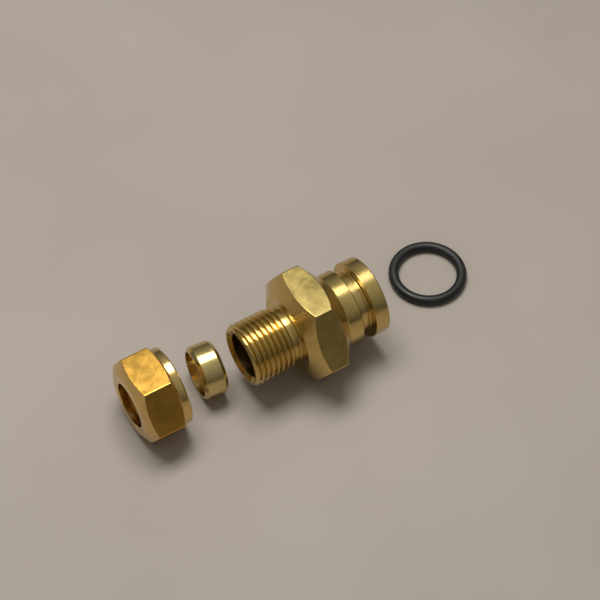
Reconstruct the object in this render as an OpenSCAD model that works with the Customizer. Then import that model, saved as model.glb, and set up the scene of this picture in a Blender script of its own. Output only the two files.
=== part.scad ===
// Compression coupling for a pipe, taken apart and laid out in the order in which it goes together:
// nut, olive, body and sealing ring. Millimetres, +Z up. The pieces lie on Z = 0, the body's axis
// runs along X, and the pipe comes in from -X.

/* [Pipe] */
// Outside diameter of the pipe that the joint grips
pipe_d = 15; // [12:0.5:18]
// Extra diameter of every hole that the pipe passes through
pipe_clearance = 0.15; // [0.05:0.05:0.4]

/* [Body: threaded end] */
// Wall between the pipe socket and the root of the thread
socket_wall = 1.74; // [1.2:0.02:3]
// Height of the thread from root to crest
thread_depth = 1.16; // [0.6:0.02:1.6]
// Length from the nose to the hexagon, run-out groove included
threaded_length = 17; // [14:0.2:28]
// Width of the run-out groove beside the hexagon
runout_width = 2.4; // [1:0.1:4]
// Bevel on the outside of the nose
nose_chamfer = 1; // [0.3:0.1:1.6]
// Depth of the coned seat that the olive is pressed into
seat_depth = 1.2; // [0.4:0.1:1.8]
// Depth of the pipe socket, from the nose to the pipe stop
socket_depth = 14.5; // [8:0.5:20]
// Height of the pipe stop, which narrows the way through
stop_height = 1.1; // [0.4:0.1:2]

/* [Body: hexagon] */
// Hexagon across its flats
body_flats = 35; // [30:0.5:46]
// Length of the hexagon's corner edges between the two turned cones
body_corner_length = 5.8; // [2:0.2:14]
// Diameter of the plain face in which the front cone ends
front_face_d = 26; // [25:0.5:29]
// Angle of the front cone, from that face
front_cone_angle = 30; // [10:1:40]
// Length of the rear cone, from the corners to the shoulder
rear_cone_length = 6.1; // [3:0.1:10]

/* [Body: sealing end] */
// Diameter of the plain shoulder beside the rear cone
shoulder_d = 24.6; // [23:0.2:25.4]
// Length of the plain shoulder
shoulder_length = 5.2; // [2:0.2:12]
// Radius of the fillet between the shoulder and the rear cone
shoulder_fillet = 0.8; // [0.2:0.1:1.5]
// Diameter of the head that keeps the ring in its groove
head_d = 26; // [24:0.5:30]
// Length of the head
head_length = 5; // [3:0.2:10]
// Bevel on both edges of the head
head_chamfer = 0.6; // [0.2:0.1:1.5]
// Diameter of the outlet inside the head
outlet_d = 16; // [13:0.5:18]
// Depth of the outlet
outlet_depth = 9; // [4:0.5:14]

/* [Sealing ring] */
// Inner diameter of the free ring
ring_inner_d = 19.5; // [18:0.5:22]
// Thickness of the ring's cord
ring_cord_d = 3.4; // [2:0.1:4]
// How much the ring is stretched over the bottom of its groove
ring_stretch = 0.5; // [0:0.1:1.5]
// Side play of the ring in its groove
groove_play = 0.7; // [0.2:0.1:2]
// Radius in the corners at the bottom of the groove
groove_radius = 0.4; // [0.1:0.1:0.8]

/* [Nut] */
// Hexagon across its flats
nut_flats = 27; // [25:0.5:36]
// Length of the hexagon's corner edges
nut_corner_length = 9; // [6:0.2:16]
// Diameter of the plain face on the pipe side
nut_face_d = 21; // [18:0.5:25]
// Angle of the cone between that face and the corners, from the face
nut_cone_angle = 25; // [10:1:45]
// Diameter of the round collar on the body side
nut_collar_d = 25.8; // [23.6:0.2:26.8]
// Length of the round collar
nut_collar_length = 2.8; // [1:0.1:5]
// Radius on the outer edge of the collar
nut_edge = 0.5; // [0.1:0.1:0.8]
// Clearance all round between the nut's hole and the crest of the thread
thread_clearance = 0.05; // [0.02:0.01:0.2]
// Bevel at the mouth of the threaded hole
nut_mouth_bevel = 0.8; // [0.3:0.1:1]
// Thickness of the end wall that pushes the olive
nut_wall = 4.2; // [3.2:0.2:7]
// Gap all round between the olive and the recess that takes its end
olive_clearance = 0.2; // [0.05:0.05:0.5]

/* [Olive] */
// Thickness of the olive's wall at its middle
olive_wall = 1.4; // [0.8:0.1:2]
// Thickness of the olive's wall at its ends
olive_end_wall = 0.6; // [0.2:0.1:0.7]
// Length of the olive
olive_length = 8; // [5:0.2:11]
// Length of the bevel at each end of the olive
olive_bevel = 1.1; // [0.4:0.1:2]

/* [Layout] */
// Free length between the nut and the olive
gap_nut_olive = 9; // [2:0.5:20]
// Free length between the olive and the body
gap_olive_body = 5; // [2:0.5:20]
// Free length between the body and the sealing ring
gap_body_ring = 15.6; // [4:0.2:30]
// How far the nut lies to the side of the body's axis
nut_side = 4.6; // [-8:0.2:8]
// How far the olive lies to the side of the body's axis
olive_side = 6.6; // [-8:0.2:8]
// How far the olive is turned away from the body's axis, in degrees
olive_turn = -5.5; // [-20:0.5:20]
// How far the ring lies to the side of the body's axis
ring_side = 6.6; // [-8:0.2:8]

/* [Hidden] */

$fn = 96;
// How far a cut runs past the face that it opens
past = 1;
// Corner radius of a hexagon as a share of its width across the flats
corner_share = 1 / sqrt(3);

brass = "#b08d3c";
bright_brass = "#c9a554";
rubber = "#1c1c1b";

// Sizes that follow from the pipe
pipe_hole_d = pipe_d + pipe_clearance;
thread_root_d = pipe_hole_d + 2 * socket_wall;
thread_d = thread_root_d + 2 * thread_depth;
waterway_d = pipe_hole_d - 2 * stop_height;
olive_d = pipe_hole_d + 2 * olive_wall;
nut_hole_d = thread_d + 2 * thread_clearance;
nut_recess_d = olive_d + 2 * olive_clearance;

// Sizes that follow from the sealing ring
groove_width = ring_cord_d + groove_play;
groove_d = ring_inner_d + ring_stretch;
ring_outer_r = ring_inner_d / 2 + ring_cord_d;

// Stations along the body, from its nose
body_corner_r = body_flats * corner_share;
corners_start = threaded_length + (body_corner_r - front_face_d / 2) * tan(front_cone_angle);
corners_end = corners_start + body_corner_length;
shoulder_start = corners_end + rear_cone_length;
groove_start = shoulder_start + shoulder_length;
head_start = groove_start + groove_width;
body_length = head_start + head_length;
rear_cone_angle = atan((body_corner_r - shoulder_d / 2) / rear_cone_length);

// Stations along the nut, from its face on the pipe side
nut_corner_r = nut_flats * corner_share;
nut_corners_start = (nut_corner_r - nut_face_d / 2) * tan(nut_cone_angle);
nut_corners_end = nut_corners_start + nut_corner_length;
nut_collar_start = nut_corners_end + (nut_corner_r - nut_collar_d / 2) * tan(nut_cone_angle);
nut_length = nut_collar_start + nut_collar_length;
nut_recess_depth = (nut_recess_d - pipe_hole_d) / 2;

// Places along X. The whole layout is centred on the origin.
nut_to_body = nut_length + gap_nut_olive + olive_length + gap_olive_body;
ring_from_nose = body_length + gap_body_ring + ring_outer_r;
nose_x = (nut_to_body - ring_from_nose - ring_outer_r) / 2;
nut_x = nose_x - nut_to_body;
olive_x = nose_x - gap_olive_body - olive_length / 2;
ring_x = nose_x + ring_from_nose;

// Solid turned about X from an outline of [station, radius] points
module turned(outline) {
    rotate([90, 0, 90])
        rotate_extrude()
            polygon([for (point = outline) [point[1], point[0]]]);
}

// Hexagonal bar along X that lies on one of its flats
module hex_bar(from, to, flats) {
    translate([from, 0, 0])
        rotate([90, 0, 90])
            linear_extrude(height = to - from)
                circle(r = flats * corner_share, $fn = 6);
}

// Points of an arc about [station, radius], from one angle to another
function arc(station, radius, size, from_angle, to_angle, steps = 6) =
    [for (i = [0 : steps])
        let (angle = from_angle + (to_angle - from_angle) * i / steps)
        [station + size * cos(angle), radius + size * sin(angle)]];

// Outer outline of the body: thread, hexagon with its cones, shoulder, ring groove and head
body_outline = concat(
    [[0, 0],
     [0, thread_d / 2 - nose_chamfer],
     [nose_chamfer, thread_d / 2],
     [threaded_length - runout_width - thread_depth, thread_d / 2],
     [threaded_length - runout_width, thread_root_d / 2],
     [threaded_length, thread_root_d / 2],
     [threaded_length, front_face_d / 2],
     [corners_start, body_corner_r],
     [corners_end, body_corner_r]],
    arc(shoulder_start + shoulder_fillet * tan(rear_cone_angle / 2), shoulder_d / 2 + shoulder_fillet,
        shoulder_fillet, 270 - rear_cone_angle, 270),
    [[groove_start, shoulder_d / 2]],
    arc(groove_start + groove_radius, groove_d / 2 + groove_radius, groove_radius, 180, 270),
    arc(head_start - groove_radius, groove_d / 2 + groove_radius, groove_radius, 270, 360),
    [[head_start, head_d / 2 - head_chamfer],
     [head_start + head_chamfer, head_d / 2],
     [body_length - head_chamfer, head_d / 2],
     [body_length, head_d / 2 - head_chamfer],
     [body_length, 0]]);

// Outline of the way through the body: olive seat, pipe socket, pipe stop and outlet
body_hollow = [
    [-past, 0],
    [-past, pipe_hole_d / 2 + seat_depth + past],
    [seat_depth, pipe_hole_d / 2],
    [socket_depth, pipe_hole_d / 2],
    [socket_depth, waterway_d / 2],
    [body_length - outlet_depth, waterway_d / 2],
    [body_length - outlet_depth, outlet_d / 2],
    [body_length + past, outlet_d / 2],
    [body_length + past, 0]];

// Outer outline of the nut: face, cone, corners and round collar
nut_outline = concat(
    [[0, 0],
     [0, nut_face_d / 2],
     [nut_corners_start, nut_corner_r],
     [nut_corners_end, nut_corner_r],
     [nut_collar_start, nut_collar_d / 2]],
    arc(nut_length - nut_edge, nut_collar_d / 2 - nut_edge, nut_edge, 90, 0),
    [[nut_length, 0]]);

// Outline of the nut's hollow: pipe hole, coned recess for the olive and threaded hole
nut_hollow = [
    [-past, 0],
    [-past, pipe_hole_d / 2],
    [nut_wall - nut_recess_depth, pipe_hole_d / 2],
    [nut_wall, nut_recess_d / 2],
    [nut_wall, nut_hole_d / 2],
    [nut_length - nut_mouth_bevel, nut_hole_d / 2],
    [nut_length + past, nut_hole_d / 2 + nut_mouth_bevel + past],
    [nut_length + past, 0]];

// Outline of the olive: its hole, and an outside that thins towards both ends
olive_outline = [
    [0, pipe_hole_d / 2],
    [0, pipe_hole_d / 2 + olive_end_wall],
    [olive_bevel, olive_d / 2],
    [olive_length - olive_bevel, olive_d / 2],
    [olive_length, pipe_hole_d / 2 + olive_end_wall],
    [olive_length, pipe_hole_d / 2]];

// The one-piece body, turned from hexagonal bar
module body() {
    color(brass)
    translate([nose_x, 0, body_flats / 2])
    difference() {
        intersection() {
            hex_bar(-past, body_length + past, body_flats);
            turned(body_outline);
        }
        turned(body_hollow);
    }
}

// The nut that draws the olive on to the pipe
module compression_nut() {
    color(bright_brass)
    translate([nut_x, nut_side, nut_flats / 2])
    difference() {
        intersection() {
            hex_bar(-past, nut_length + past, nut_flats);
            turned(nut_outline);
        }
        turned(nut_hollow);
    }
}

// The soft metal ring that bites on to the pipe
module olive() {
    color(bright_brass)
    translate([olive_x, olive_side, olive_d / 2])
    rotate([0, 0, olive_turn])
    translate([-olive_length / 2, 0, 0])
        turned(olive_outline);
}

// The rubber ring, lying flat
module sealing_ring() {
    color(rubber)
    translate([ring_x, ring_side, ring_cord_d / 2])
    rotate_extrude()
        translate([(ring_inner_d + ring_cord_d) / 2, 0])
            circle(d = ring_cord_d, $fn = 48);
}

body();
compression_nut();
olive();
sealing_ring();
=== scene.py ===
"""Looks for a brass compression coupling that lies taken apart on a table.

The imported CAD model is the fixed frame. Each brass piece is turned again here with the detail that the
CAD solids leave out: the threads, the small edge radii and the marks of the lathe.
"""

import logging
import math
from dataclasses import dataclass, field
from enum import Enum

import bpy
from mathutils import Matrix, Vector

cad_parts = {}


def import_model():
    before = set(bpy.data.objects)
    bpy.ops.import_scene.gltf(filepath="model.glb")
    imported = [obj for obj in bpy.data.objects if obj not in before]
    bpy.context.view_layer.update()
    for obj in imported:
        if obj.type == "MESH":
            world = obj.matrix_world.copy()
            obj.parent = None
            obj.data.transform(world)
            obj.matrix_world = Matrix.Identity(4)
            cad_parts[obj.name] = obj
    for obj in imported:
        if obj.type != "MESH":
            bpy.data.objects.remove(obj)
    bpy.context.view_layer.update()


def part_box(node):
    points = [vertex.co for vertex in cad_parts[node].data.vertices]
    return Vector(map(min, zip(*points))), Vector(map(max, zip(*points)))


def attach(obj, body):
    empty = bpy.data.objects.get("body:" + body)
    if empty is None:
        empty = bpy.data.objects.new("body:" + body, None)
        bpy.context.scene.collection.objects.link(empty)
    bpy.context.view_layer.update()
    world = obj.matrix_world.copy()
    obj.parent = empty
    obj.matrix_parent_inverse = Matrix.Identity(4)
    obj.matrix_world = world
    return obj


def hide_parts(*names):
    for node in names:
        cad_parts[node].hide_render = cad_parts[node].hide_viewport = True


LOG = logging.getLogger("coupling")

MM = 0.001
SEGMENTS = 120
THREAD_STEPS = 96
MERGE_DISTANCE = 0.002 * MM
OLIVE_TURN = -5.5

Outline = list[tuple[float, float]]


class Cut(Enum):
    """How a second solid changes a first one."""

    KEEP_SHARED = "INTERSECT"
    TAKE_AWAY = "DIFFERENCE"
    ADD = "UNION"


@dataclass(frozen=True)
class Place:
    """Where a piece lies: a point on its axis, in millimetres, and its turn about Z in degrees."""

    x: float
    y: float
    z: float
    turn: float = 0.0

    def settle(self, piece: bpy.types.Object) -> None:
        """Moves a piece from the origin to its place and keeps the move in its mesh.

        Args:
            piece: An object whose axis runs along X through the origin.
        """
        piece.matrix_world = Matrix.Translation(Vector((self.x, self.y, self.z)) * MM) @ Matrix.Rotation(
            math.radians(self.turn), 4, "Z"
        )
        only(piece)
        bpy.ops.object.transform_apply(location=True, rotation=True, scale=True)


def only(piece: bpy.types.Object) -> None:
    """Selects one object and makes it the active one.

    Args:
        piece: The object to work on.
    """
    bpy.ops.object.select_all(action="DESELECT")
    piece.select_set(True)
    bpy.context.view_layer.objects.active = piece


def arc(centre: tuple[float, float], radius: float, start: float, end: float, steps: int = 4) -> Outline:
    """Points of an arc in an outline.

    Args:
        centre: Station and radius of the arc's centre.
        radius: Radius of the arc.
        start: First angle in degrees, from the direction of the axis.
        end: Last angle in degrees.
        steps: Number of straight steps.

    Returns:
        The points from the first angle to the last.
    """
    angles = [math.radians(start + (end - start) * i / steps) for i in range(steps + 1)]
    return [(centre[0] + radius * math.cos(a), centre[1] + radius * math.sin(a)) for a in angles]


def trace(name: str, outline: Outline) -> bpy.types.Object:
    """Draws an outline as a wire of edges above the X axis, and stays in edit mode.

    Args:
        name: Name of the new object.
        outline: Points of station and radius, in millimetres.

    Returns:
        The object, whose wire is ready to be spun.
    """
    bpy.ops.object.select_all(action="DESELECT")
    bpy.ops.mesh.primitive_plane_add(size=MM, location=(0, 0, 0))
    piece = bpy.context.object
    piece.name = piece.data.name = name
    bpy.ops.object.mode_set(mode="EDIT")
    bpy.ops.mesh.select_mode(type="VERT")
    bpy.ops.mesh.merge(type="CENTER")
    points = [Vector((station, 0, radius)) * MM for station, radius in outline]
    bpy.ops.transform.translate(value=points[0])
    for here, there in zip(points, points[1:]):
        bpy.ops.mesh.extrude_region_move(TRANSFORM_OT_translate={"value": there - here})
    return piece


def turned(name: str, outline: Outline, finish: bpy.types.Material | None = None) -> bpy.types.Object:
    """Spins an outline about the X axis into a closed solid.

    Args:
        name: Name of the new object.
        outline: Points of station and radius, in millimetres, that start and end on the axis.
        finish: Material of the turned faces.

    Returns:
        The turned object, with its axis through the origin.
    """
    piece = trace(name, outline)
    bpy.ops.mesh.select_all(action="SELECT")
    bpy.ops.mesh.spin(steps=SEGMENTS, angle=2 * math.pi, center=(0, 0, 0), axis=(1, 0, 0))
    tidy_mesh()
    bpy.ops.object.mode_set(mode="OBJECT")
    if finish:
        piece.data.materials.append(finish)
    return piece


def tidy_mesh() -> None:
    """Merges doubles and turns all faces outwards, in edit mode."""
    bpy.ops.mesh.select_all(action="SELECT")
    bpy.ops.mesh.remove_doubles(threshold=MERGE_DISTANCE)
    bpy.ops.mesh.normals_make_consistent(inside=False)


def hexagon(
    name: str, flats: float, start: float, end: float, edge: float, finish: bpy.types.Material
) -> bpy.types.Object:
    """Hexagonal bar along X that lies on a flat, with its long edges eased.

    Args:
        name: Name of the new object.
        flats: Width across the flats.
        start: Station at which the bar starts.
        end: Station at which it ends.
        edge: Width of the eased edges.
        finish: Material of the flats.

    Returns:
        The bar, with its axis through the origin.
    """
    bpy.ops.object.select_all(action="DESELECT")
    bpy.ops.mesh.primitive_cylinder_add(
        vertices=6,
        radius=flats / math.sqrt(3) * MM,
        depth=(end - start) * MM,
        location=((start + end) / 2 * MM, 0, 0),
        rotation=(0, math.pi / 2, 0),
    )
    bar = bpy.context.object
    bar.name = bar.data.name = name
    bpy.ops.object.transform_apply(location=True, rotation=True, scale=True)
    bpy.ops.object.mode_set(mode="EDIT")
    bpy.ops.mesh.select_mode(type="EDGE")
    bpy.ops.object.mode_set(mode="OBJECT")
    for part in (*bar.data.vertices, *bar.data.polygons):
        part.select = False
    for line in bar.data.edges:
        first, last = (bar.data.vertices[i].co for i in line.vertices)
        line.select = abs(last.x - first.x) > MM
    bpy.ops.object.mode_set(mode="EDIT")
    bpy.ops.mesh.bevel(offset=edge * MM, segments=3)
    bpy.ops.object.mode_set(mode="OBJECT")
    bar.data.materials.append(finish)
    return bar


def combine(piece: bpy.types.Object, other: bpy.types.Object, cut: Cut) -> None:
    """Changes a solid by a second one, which is used up.

    Args:
        piece: The solid that stays.
        other: The solid that shapes it.
        cut: What the second solid does.
    """
    only(piece)
    change = piece.modifiers.new(cut.name, "BOOLEAN")
    change.operation = cut.value
    change.solver = "MANIFOLD"
    change.material_mode = "TRANSFER"
    change.object = other
    bpy.ops.object.modifier_apply(modifier=change.name)
    bpy.data.objects.remove(other)
    bpy.ops.object.mode_set(mode="EDIT")
    bpy.ops.mesh.select_all(action="SELECT")
    bpy.ops.mesh.remove_doubles(threshold=MERGE_DISTANCE)
    bpy.ops.object.mode_set(mode="OBJECT")


def ease_edges(piece: bpy.types.Object, width: float, angle: float = 20) -> None:
    """Rounds a solid's sharp edges.

    Args:
        piece: The solid.
        width: Width of the rounding, in millimetres.
        angle: Edges that bend by more than this many degrees are rounded.
    """
    only(piece)
    rounding = piece.modifiers.new("rounding", "BEVEL")
    rounding.width = width * MM
    rounding.segments = 2
    rounding.limit_method = "ANGLE"
    rounding.angle_limit = math.radians(angle)
    rounding.use_clamp_overlap = False
    bpy.ops.object.modifier_apply(modifier=rounding.name)


def smooth(piece: bpy.types.Object, angle: float = 32) -> None:
    """Smooths a piece's faces, and keeps large flat faces flat.

    Args:
        piece: The finished mesh.
        angle: Edges that bend by more than this many degrees stay sharp.
    """
    only(piece)
    bpy.ops.object.shade_smooth_by_angle(angle=math.radians(angle))
    weights = piece.modifiers.new("weights", "WEIGHTED_NORMAL")
    weights.keep_sharp = True
    bpy.ops.object.modifier_apply(modifier=weights.name)


@dataclass(frozen=True)
class Thread:
    """A right-handed pipe thread about the X axis, in millimetres."""

    crest_r: float
    root_r: float
    pitch: float = 1.814

    def rod(self, name: str, start: float, end: float) -> bpy.types.Object:
        """A closed threaded rod that reaches at least from one station to another.

        Args:
            name: Name of the new object.
            start: First station that has to be threaded.
            end: Last station that has to be threaded.

        Returns:
            The rod, with its axis through the origin.
        """
        depth = self.crest_r - self.root_r
        flank = [(0, 0), (0.09, 0), (0.16, 0.12), (0.37, 0.88), (0.45, 1)]
        tooth = flank + [(0.55, 1), (0.63, 0.88), (0.84, 0.12), (0.91, 0), (1, 0)]
        turns = math.ceil((end - start) / self.pitch) + 2
        first = start - 1.5 * self.pitch
        rod = trace(name, [(first + along * self.pitch, self.root_r + up * depth) for along, up in tooth])
        bpy.ops.object.mode_set(mode="OBJECT")
        winding = rod.modifiers.new("winding", "SCREW")
        winding.axis = "X"
        winding.angle = 2 * math.pi
        winding.screw_offset = self.pitch * MM
        winding.iterations = turns
        winding.steps = winding.render_steps = THREAD_STEPS
        winding.use_smooth_shade = False
        bpy.ops.object.modifier_apply(modifier=winding.name)
        bpy.ops.object.mode_set(mode="EDIT")
        tidy_mesh()
        for station, kept_side in ((start - 0.3 * self.pitch, 1), (end + 0.3 * self.pitch, -1)):
            bpy.ops.mesh.select_all(action="SELECT")
            bpy.ops.mesh.bisect(
                plane_co=(station * MM, 0, 0),
                plane_no=(kept_side, 0, 0),
                use_fill=True,
                clear_inner=True,
                threshold=MERGE_DISTANCE / 10,
            )
        tidy_mesh()
        bpy.ops.object.mode_set(mode="OBJECT")
        return rod


class Nodes:
    """Short ways to fill a node tree."""

    def __init__(self, tree: bpy.types.NodeTree) -> None:
        """Takes the tree that the nodes go into.

        Args:
            tree: A material's or a group's node tree.
        """
        self.tree = tree

    def add(self, kind: str, **inputs: object) -> bpy.types.Node:
        """Adds a node and fills its named inputs.

        Args:
            kind: The node's type.
            inputs: Socket name, with underscores for spaces, to a value or another node's socket.

        Returns:
            The new node.
        """
        node = self.tree.nodes.new(kind)
        for name, value in inputs.items():
            self.fill(node.inputs[name.replace("_", " ")], value)
        return node

    def fill(self, socket: bpy.types.NodeSocket, value: object) -> None:
        """Links or sets one input.

        Args:
            socket: The input.
            value: A socket to link from, or a plain value.
        """
        if isinstance(value, bpy.types.NodeSocket):
            self.tree.links.new(value, socket)
        else:
            socket.default_value = value

    def sum_of(self, kind: str, *values: object) -> bpy.types.NodeSocket:
        """Result of a Math node.

        Args:
            kind: The node's operation.
            values: Its inputs in order.

        Returns:
            The output socket.
        """
        node = self.tree.nodes.new("ShaderNodeMath")
        node.operation = kind
        for socket, value in zip(node.inputs, values):
            self.fill(socket, value)
        return node.outputs[0]

    def blend(self, share: object, first: object, second: object) -> bpy.types.NodeSocket:
        """Mix of two colours.

        Args:
            share: How much of the second colour.
            first: First colour.
            second: Second colour.

        Returns:
            The mixed colour.
        """
        node = self.tree.nodes.new("ShaderNodeMix")
        node.data_type = "RGBA"
        self.fill(node.inputs["Factor"], share)
        self.fill(node.inputs[6], first)
        self.fill(node.inputs[7], second)
        return node.outputs[2]

    def range_of(
        self, value: object, low: float, high: float, to_low: float, to_high: float
    ) -> bpy.types.NodeSocket:
        """Value carried over from one range to another, held at the ends.

        Args:
            value: The incoming value.
            low: Start of its range.
            high: End of its range.
            to_low: What the start becomes.
            to_high: What the end becomes.

        Returns:
            The new value.
        """
        node = self.add("ShaderNodeMapRange", Value=value, From_Min=low, From_Max=high)
        self.fill(node.inputs["To Min"], to_low)
        self.fill(node.inputs["To Max"], to_high)
        return node.outputs[0]


def group(name: str, inputs: dict[str, str], outputs: dict[str, str]) -> tuple[bpy.types.NodeTree, Nodes]:
    """Starts a shader node group.

    Args:
        name: Name of the group.
        inputs: Input name to kind of socket.
        outputs: Output name to kind of socket.

    Returns:
        The group and a helper that fills it.
    """
    tree = bpy.data.node_groups.new(name, "ShaderNodeTree")
    for label, kind in inputs.items():
        tree.interface.new_socket(name=label, in_out="INPUT", socket_type=kind)
    for label, kind in outputs.items():
        tree.interface.new_socket(name=label, in_out="OUTPUT", socket_type=kind)
    return tree, Nodes(tree)


def lathe_marks() -> bpy.types.NodeTree:
    """Group for the fine rings that a turning tool leaves around the X axis.

    Returns:
        The group, with outputs for the height of the rings and for a slow change along them.
    """
    tree, nodes = group(
        "Lathe marks",
        {"Place": "NodeSocketVector", "Rings per metre": "NodeSocketFloat"},
        {"Height": "NodeSocketFloat", "Change": "NodeSocketFloat"},
    )
    given = nodes.add("NodeGroupInput")
    place = given.outputs["Place"]
    parts = nodes.add("ShaderNodeSeparateXYZ", Vector=place)
    x, y, z = parts.outputs
    squares = [nodes.sum_of("MULTIPLY", side, side) for side in (y, z)]
    radius = nodes.sum_of("SQRT", nodes.sum_of("ADD", *squares))
    turn = nodes.sum_of("ARCTAN2", y, z)
    along = nodes.sum_of("MULTIPLY", x, given.outputs["Rings per metre"])
    across = nodes.sum_of("MULTIPLY", radius, given.outputs["Rings per metre"])
    ring = nodes.add("ShaderNodeCombineXYZ", X=along, Y=across, Z=nodes.sum_of("MULTIPLY", turn, 0.35))
    fine = nodes.add("ShaderNodeTexNoise", Vector=ring.outputs[0], Scale=1.0, Detail=3.0, Roughness=0.6)
    slow = nodes.add("ShaderNodeTexNoise", Vector=place, Scale=260.0, Detail=3.0, Roughness=0.55)
    ends = nodes.add("NodeGroupOutput")
    nodes.fill(ends.inputs["Height"], fine.outputs[0])
    nodes.fill(ends.inputs["Change"], slow.outputs[0])
    return tree


def handling() -> bpy.types.NodeTree:
    """Group for small scratches, specks and patches of dulled metal.

    Returns:
        The group, with masks for specks and patches and a height for the scratches.
    """
    tree, nodes = group(
        "Handling",
        {"Place": "NodeSocketVector", "Specks": "NodeSocketFloat"},
        {"Specks": "NodeSocketFloat", "Patches": "NodeSocketFloat", "Scratches": "NodeSocketFloat"},
    )
    given = nodes.add("NodeGroupInput")
    place = given.outputs["Place"]
    dots = nodes.add("ShaderNodeTexNoise", Vector=place, Scale=1300.0, Detail=2.0)
    edge = nodes.sum_of("SUBTRACT", 0.78, nodes.sum_of("MULTIPLY", given.outputs["Specks"], 0.14))
    specks = nodes.add("ShaderNodeMapRange", Value=dots.outputs[0], From_Min=edge, From_Max=0.82)
    wide = nodes.add("ShaderNodeTexNoise", Vector=place, Scale=140.0, Detail=4.0, Roughness=0.6)
    patches = nodes.range_of(wide.outputs[0], 0.42, 0.66, 0.0, 1.0)
    lines = nodes.add("ShaderNodeTexNoise", Vector=place, Scale=2600.0, Detail=2.0, Distortion=0.4)
    ends = nodes.add("NodeGroupOutput")
    nodes.fill(ends.inputs["Specks"], specks.outputs[0])
    nodes.fill(ends.inputs["Patches"], patches)
    nodes.fill(ends.inputs["Scratches"], lines.outputs[0])
    return tree


@dataclass(frozen=True)
class Groups:
    """The shader groups that several finishes share."""

    marks: bpy.types.NodeTree
    handling: bpy.types.NodeTree


@dataclass(frozen=True)
class Brass:
    """A bright brass finish."""

    name: str
    colour: tuple[float, float, float]
    dull: tuple[float, float, float]
    roughness: float = 0.2
    rings: float = 5200.0
    ring_height: float = 0.16
    specks: float = 0.5

    def material(self, groups: Groups, place: Place) -> bpy.types.Material:
        """Builds the finish for one piece.

        Args:
            groups: The shared shader groups.
            place: Where the piece lies, so that the rings run about its own axis.

        Returns:
            The material.
        """
        made = bpy.data.materials.new(self.name)
        made.use_nodes = True
        nodes = Nodes(made.node_tree)
        metal = made.node_tree.nodes["Principled BSDF"]
        metal.inputs["Metallic"].default_value = 1.0
        spot = nodes.add("ShaderNodeTexCoord")
        centred = nodes.add("ShaderNodeMapping", Vector=spot.outputs["Object"])
        centred.vector_type = "TEXTURE"
        centred.inputs["Location"].default_value = Vector((place.x, place.y, place.z)) * MM
        centred.inputs["Rotation"].default_value = (0, 0, math.radians(place.turn))
        marks = nodes.tree.nodes.new("ShaderNodeGroup")
        marks.node_tree = groups.marks
        nodes.fill(marks.inputs["Place"], centred.outputs[0])
        marks.inputs["Rings per metre"].default_value = self.rings
        wear = nodes.tree.nodes.new("ShaderNodeGroup")
        wear.node_tree = groups.handling
        nodes.fill(wear.inputs["Place"], centred.outputs[0])
        wear.inputs["Specks"].default_value = self.specks
        patch = nodes.sum_of("MULTIPLY", wear.outputs["Patches"], 0.35)
        tone = nodes.blend(patch, (*self.colour, 1), (*self.dull, 1))
        dark = [level * 0.3 for level in self.dull]
        tone = nodes.blend(nodes.sum_of("MULTIPLY", wear.outputs["Specks"], 0.6), tone, (*dark, 1))
        nodes.fill(metal.inputs["Base Color"], tone)
        shine = nodes.range_of(marks.outputs["Change"], 0.3, 0.7, self.roughness * 0.8, self.roughness * 1.35)
        nodes.fill(metal.inputs["Roughness"], shine)
        height = nodes.sum_of(
            "ADD",
            nodes.sum_of("MULTIPLY", marks.outputs["Height"], self.ring_height),
            nodes.sum_of("MULTIPLY", wear.outputs["Scratches"], 0.06),
        )
        bump = nodes.add("ShaderNodeBump", Strength=0.35, Distance=0.05 * MM, Height=height)
        nodes.fill(metal.inputs["Normal"], bump.outputs[0])
        return made


@dataclass(frozen=True)
class Rubber:
    """Smooth black rubber with a faint bloom."""

    name: str = "Ring rubber"
    colour: tuple[float, float, float] = (0.004, 0.004, 0.0035)
    bloom: tuple[float, float, float] = (0.014, 0.014, 0.012)

    def material(self) -> bpy.types.Material:
        """Builds the finish.

        Returns:
            The material.
        """
        made = bpy.data.materials.new(self.name)
        made.use_nodes = True
        nodes = Nodes(made.node_tree)
        skin = made.node_tree.nodes["Principled BSDF"]
        spot = nodes.add("ShaderNodeTexCoord")
        cloud = nodes.add("ShaderNodeTexNoise", Vector=spot.outputs["Object"], Scale=150.0, Detail=4.0)
        share = nodes.range_of(cloud.outputs[0], 0.45, 0.7, 0.0, 0.6)
        nodes.fill(skin.inputs["Base Color"], nodes.blend(share, (*self.colour, 1), (*self.bloom, 1)))
        nodes.fill(skin.inputs["Roughness"], nodes.range_of(cloud.outputs[0], 0.3, 0.7, 0.38, 0.55))
        grain = nodes.add("ShaderNodeTexNoise", Vector=spot.outputs["Object"], Scale=3000.0, Detail=2.0)
        bump = nodes.add("ShaderNodeBump", Strength=0.25, Distance=0.02 * MM, Height=grain.outputs[0])
        nodes.fill(skin.inputs["Normal"], bump.outputs[0])
        return made


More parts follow.
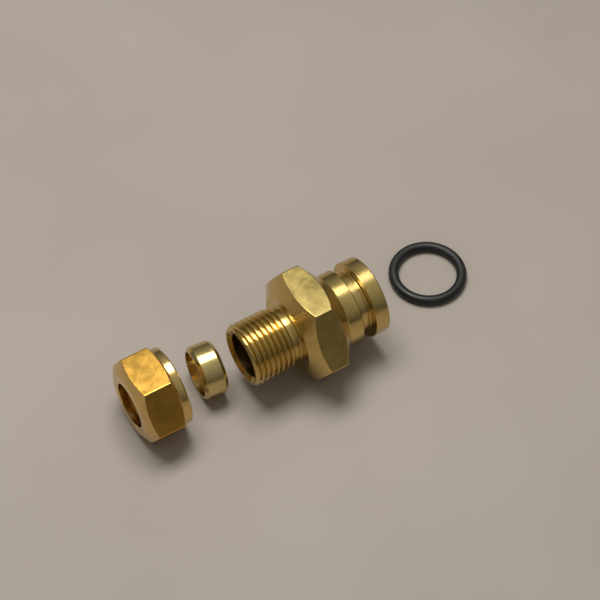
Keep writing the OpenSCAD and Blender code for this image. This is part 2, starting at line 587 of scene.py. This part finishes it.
@dataclass
class CouplingBody:
    """The one-piece body: male thread, coned hexagon, shoulder, ring groove and head."""

    place: Place
    thread: Thread = Thread(crest_r=10.475, root_r=9.315)
    threaded_length: float = 17.0
    runout_width: float = 2.4
    nose_chamfer: float = 1.0
    socket_r: float = 7.575
    socket_depth: float = 14.5
    seat_depth: float = 1.2
    waterway_r: float = 6.475
    flats: float = 35.0
    corner_length: float = 5.8
    front_face_r: float = 13.0
    front_cone_angle: float = 30.0
    rear_cone_length: float = 6.1
    shoulder_r: float = 12.3
    shoulder_length: float = 5.2
    groove_r: float = 10.0
    groove_width: float = 4.1
    head_r: float = 13.0
    head_length: float = 5.0
    edge: float = 0.35
    outlet_r: float = 8.0
    outlet_depth: float = 9.0
    over: float = 1.0
    length: float = field(init=False)

    def __post_init__(self) -> None:
        """Works out the stations that follow from the lengths."""
        corner_r = self.flats / math.sqrt(3)
        slope = math.tan(math.radians(self.front_cone_angle))
        self.corners_start = self.threaded_length + (corner_r - self.front_face_r) * slope
        self.corners_end = self.corners_start + self.corner_length
        self.shoulder_start = self.corners_end + self.rear_cone_length
        self.groove_start = self.shoulder_start + self.shoulder_length
        self.head_start = self.groove_start + self.groove_width
        self.length = self.head_start + self.head_length
        self.corner_r = corner_r

    def bar_outline(self) -> Outline:
        """Outline from the run-out groove to the head, with cones that run on past the corners."""
        slope = math.tan(math.radians(self.front_cone_angle))
        rear = (self.corner_r - self.shoulder_r) / self.rear_cone_length
        more = 0.4
        root = self.thread.root_r
        lean = math.degrees(math.atan(rear))
        fillet = 0.8
        round_over = self.edge
        return [
            (self.threaded_length - self.runout_width - 2.5, 0),
            (self.threaded_length - self.runout_width - 2.5, root - 0.02),
            *arc((self.threaded_length - 0.4, root + 0.4 - 0.02), 0.4, 270, 360),
            (self.threaded_length, self.front_face_r),
            (self.corners_start + more * slope, self.corner_r + more),
            (self.corners_end - more / rear, self.corner_r + more),
            *arc(
                (self.shoulder_start + fillet * math.tan(math.radians(lean / 2)), self.shoulder_r + fillet),
                fillet,
                270 - lean,
                270,
                6,
            ),
            *arc((self.groove_start - 0.25, self.shoulder_r - 0.25), 0.25, 90, 0),
            *arc((self.groove_start + 0.4, self.groove_r + 0.4), 0.4, 180, 270),
            *arc((self.head_start - 0.4, self.groove_r + 0.4), 0.4, 270, 360),
            *arc((self.head_start + round_over, self.head_r - round_over), round_over, 180, 90),
            *arc((self.length - round_over, self.head_r - round_over), round_over, 90, 0),
            (self.length, 0),
        ]

    def thread_outline(self) -> Outline:
        """Outline that trims the thread: bevelled nose and a cone down to the run-out groove."""
        crest = self.thread.crest_r
        end = self.threaded_length - self.runout_width
        return [
            (0, 0),
            *arc((0.15, crest - self.nose_chamfer), 0.15, 180, 135, 2),
            (self.nose_chamfer, crest),
            (end - (crest - self.thread.root_r), crest),
            (end, self.thread.root_r - 0.01),
            (end, 0),
        ]

    def hollow_outline(self) -> Outline:
        """Outline of the way through: seat, pipe socket, pipe stop and outlet."""
        mouth = self.seat_depth + self.over
        return [
            (-self.over, 0),
            (-self.over, self.socket_r + mouth),
            (self.seat_depth, self.socket_r),
            (self.socket_depth, self.socket_r),
            (self.socket_depth, self.waterway_r),
            (self.length - self.outlet_depth, self.waterway_r),
            (self.length - self.outlet_depth, self.outlet_r),
            (self.length - 0.5, self.outlet_r),
            (self.length + self.over, self.outlet_r + 0.5 + self.over),
            (self.length + self.over, 0),
        ]

    def build(self, turned_brass: bpy.types.Material, flat_brass: bpy.types.Material) -> bpy.types.Object:
        """Turns the body and cuts its thread.

        Args:
            turned_brass: Finish of everything that the lathe made.
            flat_brass: Finish of the hexagon's flats.

        Returns:
            The body in its place.
        """
        piece = turned("body_turned", self.bar_outline(), turned_brass)
        bar = hexagon("body_flats", self.flats, -self.over, self.length + self.over, 0.35, flat_brass)
        combine(piece, bar, Cut.KEEP_SHARED)
        ease_edges(piece, 0.16)
        threaded = self.thread.rod("body_thread", 0, self.threaded_length)
        threaded.data.materials.append(turned_brass)
        combine(threaded, turned("thread_trim", self.thread_outline(), turned_brass), Cut.KEEP_SHARED)
        combine(piece, threaded, Cut.ADD)
        combine(piece, turned("body_hollow", self.hollow_outline(), turned_brass), Cut.TAKE_AWAY)
        smooth(piece)
        self.place.settle(piece)
        return piece


@dataclass
class CompressionNut:
    """The nut: coned hexagon, round collar, pipe hole and inside thread."""

    place: Place
    thread: Thread = Thread(crest_r=10.525, root_r=9.365)
    flats: float = 27.0
    corner_length: float = 9.0
    face_r: float = 10.5
    cone_angle: float = 25.0
    collar_r: float = 12.9
    collar_length: float = 2.8
    collar_edge: float = 0.5
    pipe_r: float = 7.575
    wall: float = 4.2
    recess_r: float = 9.175
    mouth_bevel: float = 0.8
    over: float = 1.0
    length: float = field(init=False)

    def __post_init__(self) -> None:
        """Works out the stations that follow from the lengths."""
        self.corner_r = self.flats / math.sqrt(3)
        self.slope = math.tan(math.radians(self.cone_angle))
        self.corners_start = (self.corner_r - self.face_r) * self.slope
        self.corners_end = self.corners_start + self.corner_length
        self.collar_start = self.corners_end + (self.corner_r - self.collar_r) * self.slope
        self.length = self.collar_start + self.collar_length

    def outline(self) -> Outline:
        """Outer outline, with cones that run on past the corners."""
        more = 0.4
        return [
            (0, 0),
            (0, self.face_r),
            (self.corners_start + more * self.slope, self.corner_r + more),
            (self.corners_end - more * self.slope, self.corner_r + more),
            (self.collar_start, self.collar_r),
            *arc((self.length - self.collar_edge, self.collar_r - self.collar_edge), self.collar_edge, 90, 0),
            (self.length, 0),
        ]

    def hollow_outline(self) -> Outline:
        """Outline of the pipe hole with the coned recess for the olive."""
        edge = 0.25
        return [
            (-self.over, 0),
            (-self.over, self.pipe_r + self.over + edge),
            (edge, self.pipe_r),
            (self.wall - (self.recess_r - self.pipe_r), self.pipe_r),
            (self.wall, self.recess_r),
            (self.wall + self.over, self.recess_r),
            (self.wall + self.over, 0),
        ]

    def mouth_outline(self) -> Outline:
        """Outline that trims the inside thread and widens its mouth."""
        crest = self.thread.crest_r
        wide = crest + self.mouth_bevel + self.over
        return [
            (self.wall, 0),
            (self.wall, crest),
            (self.length - self.mouth_bevel, crest),
            (self.length + self.over, wide),
            (self.length + self.over, 0),
        ]

    def mouth_cone(self) -> Outline:
        """Outline of the bevel at the mouth of the inside thread."""
        crest, root = self.thread.crest_r, self.thread.root_r
        start = self.length - self.mouth_bevel - (crest - root)
        wide = crest + self.mouth_bevel + self.over
        return [(start, 0), (start, root), (self.length + self.over, wide), (self.length + self.over, 0)]

    def build(self, turned_brass: bpy.types.Material, flat_brass: bpy.types.Material) -> bpy.types.Object:
        """Turns the nut and cuts its inside thread.

        Args:
            turned_brass: Finish of everything that the lathe made.
            flat_brass: Finish of the hexagon's flats.

        Returns:
            The nut in its place.
        """
        piece = turned("nut_turned", self.outline(), turned_brass)
        bar = hexagon("nut_flats", self.flats, -self.over, self.length + self.over, 0.35, flat_brass)
        combine(piece, bar, Cut.KEEP_SHARED)
        ease_edges(piece, 0.2)
        tap = self.thread.rod("nut_tap", self.wall, self.length)
        tap.data.materials.append(turned_brass)
        combine(tap, turned("tap_trim", self.mouth_outline(), turned_brass), Cut.KEEP_SHARED)
        combine(piece, tap, Cut.TAKE_AWAY)
        combine(piece, turned("nut_mouth", self.mouth_cone(), turned_brass), Cut.TAKE_AWAY)
        combine(piece, turned("nut_hollow", self.hollow_outline(), turned_brass), Cut.TAKE_AWAY)
        smooth(piece)
        self.place.settle(piece)
        return piece


@dataclass
class Olive:
    """The soft ring with bevelled ends that bites on to the pipe."""

    place: Place
    bore_r: float = 7.575
    middle_r: float = 8.975
    end_r: float = 8.175
    length: float = 8.0
    bevel: float = 1.1
    edge: float = 0.12

    def build(self, turned_brass: bpy.types.Material) -> bpy.types.Object:
        """Turns the olive.

        Args:
            turned_brass: Its finish.

        Returns:
            The olive in its place.
        """
        half = self.length / 2
        wall = [
            (-half, self.bore_r + self.edge),
            (-half, self.end_r - self.edge),
            (-half + self.edge, self.end_r),
            (-half + self.bevel - self.edge, self.middle_r - self.edge),
            (-half + self.bevel + self.edge, self.middle_r),
            (half - self.bevel - self.edge, self.middle_r),
            (half - self.bevel + self.edge, self.middle_r - self.edge),
            (half - self.edge, self.end_r),
            (half, self.end_r - self.edge),
            (half, self.bore_r + self.edge),
            (half - self.edge, self.bore_r),
            (-half + self.edge, self.bore_r),
            (-half, self.bore_r + self.edge),
        ]
        piece = turned("olive_turned", wall, turned_brass)
        smooth(piece)
        self.place.settle(piece)
        return piece


@dataclass
class SealingRing:
    """The rubber ring of round cord, with the fine seam that its mould leaves."""

    place: Place
    inner_r: float = 9.75
    cord_r: float = 1.7
    seam: float = 0.05

    def build(self, rubber: bpy.types.Material) -> bpy.types.Object:
        """Makes the ring.

        Args:
            rubber: Its finish.

        Returns:
            The ring, flat in its place.
        """
        bpy.ops.object.select_all(action="DESELECT")
        bpy.ops.mesh.primitive_torus_add(
            major_segments=144,
            minor_segments=40,
            major_radius=(self.inner_r + self.cord_r) * MM,
            minor_radius=self.cord_r * MM,
            location=(0, 0, 0),
        )
        piece = bpy.context.object
        piece.name = piece.data.name = "ring_moulded"
        middle = (self.inner_r + self.cord_r) * MM
        for corner in piece.data.vertices:
            if abs(corner.co.z) < 0.02 * MM:
                out = Vector((corner.co.x, corner.co.y, 0))
                reach = out.length - math.copysign(self.seam * MM, out.length - middle)
                corner.co = out.normalized() * reach
        piece.data.materials.append(rubber)
        bpy.ops.object.shade_smooth()
        self.place.settle(piece)
        return piece


@dataclass(frozen=True)
class Studio:
    """Floor, lights, world and camera."""

    target: Vector
    azimuth: float = 31.6
    pitch: float = 53.0
    distance: float = 0.567
    focal_pixels: float = 1700.0
    frame_pixels: float = 600.0
    sensor: float = 36.0

    def camera(self) -> None:
        """Sets the camera at the photograph's angle."""
        turn, tilt = math.radians(self.azimuth), math.radians(self.pitch)
        back = Vector((-math.cos(tilt) * math.sin(turn), -math.cos(tilt) * math.cos(turn), math.sin(tilt)))
        bpy.ops.object.camera_add(location=self.target + back * self.distance)
        eye = bpy.context.object
        eye.rotation_euler = (-back).to_track_quat("-Z", "Y").to_euler()
        eye.data.sensor_width = self.sensor
        eye.data.lens = self.focal_pixels / self.frame_pixels * self.sensor
        eye.data.clip_start = 0.01
        bpy.context.scene.camera = eye

    def soft_box(
        self, name: str, direction: Vector, distance: float, size: tuple[float, float], power: float
    ) -> None:
        """Adds a rectangular lamp that faces the pieces.

        Args:
            name: Name of the lamp.
            direction: Direction from the pieces to the lamp.
            distance: How far away it is.
            size: Its two sides in metres.
            power: Its power in watts.
        """
        spot = self.target + direction.normalized() * distance
        bpy.ops.object.light_add(type="AREA", location=spot)
        lamp = bpy.context.object
        lamp.name = lamp.data.name = name
        lamp.data.shape = "RECTANGLE"
        lamp.data.size, lamp.data.size_y = size
        lamp.data.energy = power
        lamp.rotation_euler = (self.target - spot).to_track_quat("-Z", "Y").to_euler()

    def lights(self) -> None:
        """Hangs one large soft lamp over the pieces."""
        self.soft_box("overhead", Vector((-0.007, 0.18, 0.8)), 0.82, (0.5, 0.35), 5.2)

    def world(self) -> None:
        """Room light that is dim at the level of the table and brighter overhead."""
        room = bpy.data.worlds.new("Room")
        room.use_nodes = True
        bpy.context.scene.world = room
        nodes = Nodes(room.node_tree)
        spot = nodes.add("ShaderNodeTexCoord")
        parts = nodes.add("ShaderNodeSeparateXYZ", Vector=spot.outputs["Generated"])
        ramp = nodes.add("ShaderNodeValToRGB", Fac=nodes.sum_of("MAXIMUM", parts.outputs[2], 0.0))
        ramp.color_ramp.elements[0].color = (0.07, 0.068, 0.062, 1)
        ramp.color_ramp.elements[1].color = (0.42, 0.42, 0.4, 1)
        nodes.fill(room.node_tree.nodes["Background"].inputs["Color"], ramp.outputs[0])

    def floor(self) -> None:
        """Lays a plain pale table top under the pieces."""
        bpy.ops.object.select_all(action="DESELECT")
        bpy.ops.mesh.primitive_plane_add(size=3.0, location=(0, 0, 0))
        top = bpy.context.object
        top.name = "table_top"
        made = bpy.data.materials.new("Table top")
        made.use_nodes = True
        nodes = Nodes(made.node_tree)
        paint = made.node_tree.nodes["Principled BSDF"]
        spot = nodes.add("ShaderNodeTexCoord")
        cloud = nodes.add("ShaderNodeTexNoise", Vector=spot.outputs["Object"], Scale=9.0, Detail=3.0)
        share = nodes.range_of(cloud.outputs[0], 0.35, 0.65, 0, 1)
        tone = nodes.blend(share, (0.37, 0.315, 0.262, 1), (0.4, 0.345, 0.29, 1))
        nodes.fill(paint.inputs["Base Color"], tone)
        paint.inputs["Roughness"].default_value = 0.6
        top.data.materials.append(made)

    def set_up(self) -> None:
        """Builds everything around the pieces."""
        self.floor()
        self.lights()
        self.world()
        self.camera()
        bpy.context.scene.view_settings.view_transform = "Standard"


def middle(node: str) -> Vector:
    """Middle of a CAD node's box.

    Args:
        node: Name of the node.

    Returns:
        The point, in millimetres.
    """
    low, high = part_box(node)
    return (low + high) / 2 / MM


def hand_over(piece: bpy.types.Object, node: str) -> None:
    """Puts a finished piece in a CAD node's stead.

    Args:
        piece: The finished piece.
        node: The CAD node that it stands for.
    """
    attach(piece, "root")
    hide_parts(node)
    LOG.info("%s: %d faces", piece.name, len(piece.data.polygons))


def main() -> None:
    """Builds the pieces and the studio in order."""
    logging.basicConfig(level=logging.INFO, format="%(name)s: %(message)s")
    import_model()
    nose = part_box("body")[0].x / MM
    body_place = Place(nose, middle("body").y, middle("body").z)
    nut_middle = middle("compression_nut")
    nut_place = Place(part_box("compression_nut")[0].x / MM, nut_middle.y, nut_middle.z)
    olive_place = Place(*middle("olive"), OLIVE_TURN)
    ring_place = Place(*middle("sealing_ring"))

    groups = Groups(lathe_marks(), handling())
    body_turned = Brass("Body turned", (0.66, 0.48, 0.17), (0.46, 0.34, 0.12), 0.2, 3400.0, 0.3)
    body_flat = Brass("Body flats", (0.56, 0.42, 0.14), (0.42, 0.32, 0.11), 0.21, 1500.0, 0.06)
    nut_turned = Brass("Nut turned", (0.74, 0.52, 0.2), (0.52, 0.34, 0.11), 0.17, 3400.0, 0.3)
    nut_flat = Brass("Nut flats", (0.68, 0.38, 0.07), (0.5, 0.28, 0.05), 0.19, 1500.0, 0.06)
    olive_turned = Brass("Olive turned", (0.68, 0.52, 0.22), (0.46, 0.35, 0.14), 0.2, 3400.0, 0.3)

    body = CouplingBody(body_place)
    made = body.build(body_turned.material(groups, body_place), body_flat.material(groups, body_place))
    hand_over(made, "body")
    nut = CompressionNut(nut_place)
    made = nut.build(nut_turned.material(groups, nut_place), nut_flat.material(groups, nut_place))
    hand_over(made, "compression_nut")
    hand_over(Olive(olive_place).build(olive_turned.material(groups, olive_place)), "olive")
    hand_over(SealingRing(ring_place).build(Rubber().material()), "sealing_ring")

    Studio(Vector((nose + 34.36, 20.54, 0)) * MM).set_up()


if __name__ == "__main__":
    main()
